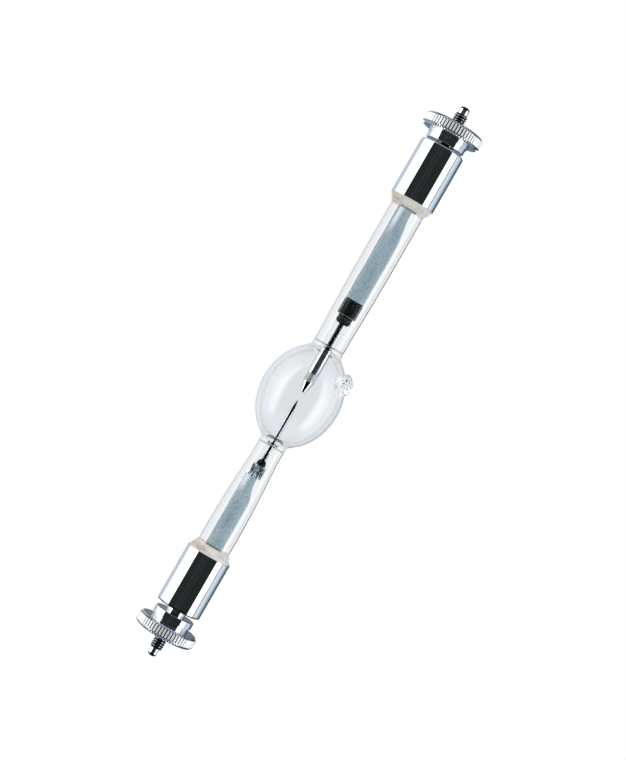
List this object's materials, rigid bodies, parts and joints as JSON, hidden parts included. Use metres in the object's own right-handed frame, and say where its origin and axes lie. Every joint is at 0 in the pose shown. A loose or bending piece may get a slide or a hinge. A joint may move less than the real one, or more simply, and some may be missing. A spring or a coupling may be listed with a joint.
{
  "type": "xenon arc lamp",
  "caption": "Short-arc lamp: an egg-shaped clear bulb on two straight quartz shafts, with a metal cap, stud and knurled nut at each end.",
  "frame": {"origin": "centre of the lower (cathode) cap's outer end face", "axes": "+Z along the lamp's axis, towards the anode end; the bulb's exhaust tip points 35 degrees from +X towards -Y"},
  "size_m": [0.0478, 0.0478, 0.3605],
  "materials": {
    "clear_quartz": "clear fused quartz, flame polished",
    "polished_tungsten": "ground and polished tungsten",
    "drawn_tungsten": "drawn tungsten, dark and smooth",
    "dark_molybdenum": "dark turned molybdenum",
    "molybdenum_foil": "matte blue-grey rolled foil under quartz",
    "nickel_lead": "drawn nickel",
    "plated_cap": "bright nickel plate, mirror smooth",
    "base_cement": "matte off-white cement",
    "plated_stud": "nickel-plated thread",
    "plated_washer": "bright nickel plate, turned",
    "plated_nut": "bright nickel plate over straight knurling"
  },
  "bodies": {
    "root": {"quartz_envelope": "clear_quartz", "anode": "polished_tungsten", "anode_rod": "drawn_tungsten", "cathode": "drawn_tungsten", "upper_holder": "dark_molybdenum", "upper_plug": "dark_molybdenum", "upper_core": "clear_quartz", "upper_foil": "molybdenum_foil", "upper_disc": "dark_molybdenum", "upper_lead": "nickel_lead", "lower_holder": "dark_molybdenum", "lower_cup": "molybdenum_foil", "lower_core": "clear_quartz", "lower_foil": "molybdenum_foil", "lower_disc": "dark_molybdenum", "lower_lead": "nickel_lead", "upper_cap": "plated_cap", "upper_cement": "base_cement", "upper_stud": "plated_stud", "lower_cap": "plated_cap", "lower_cement": "base_cement", "lower_stud": "plated_stud"},
    "upper_washer": {"upper_washer": "plated_washer"},
    "upper_nut": {"upper_nut": "plated_nut"},
    "lower_washer": {"lower_washer": "plated_washer"},
    "lower_nut": {"lower_nut": "plated_nut"}
  },
  "joints": [
    {"name": "upper_nut_travel", "type": "slide", "parent": "root", "child": "upper_washer", "axis": [0, 0, 1], "range_m": [0, 0.015]},
    {"name": "upper_nut_turn", "type": "hinge", "parent": "upper_washer", "child": "upper_nut", "pos_m": [0, 0, 0.3137], "axis": [0, 0, 1], "range_deg": [0, 3610]},
    {"name": "lower_nut_travel", "type": "slide", "parent": "root", "child": "lower_washer", "axis": [0, 0, -1], "range_m": [0, 0.0165]},
    {"name": "lower_nut_turn", "type": "hinge", "parent": "lower_washer", "child": "lower_nut", "pos_m": [0, 0, -0.0137], "axis": [0, 0, -1], "range_deg": [0, 3970]}
  ],
  "couplings": [
    {"joint": "upper_nut_turn", "follows": "upper_nut_travel", "rad_per_m": 4188.8},
    {"joint": "lower_nut_turn", "follows": "lower_nut_travel", "rad_per_m": 4188.8}
  ]
}
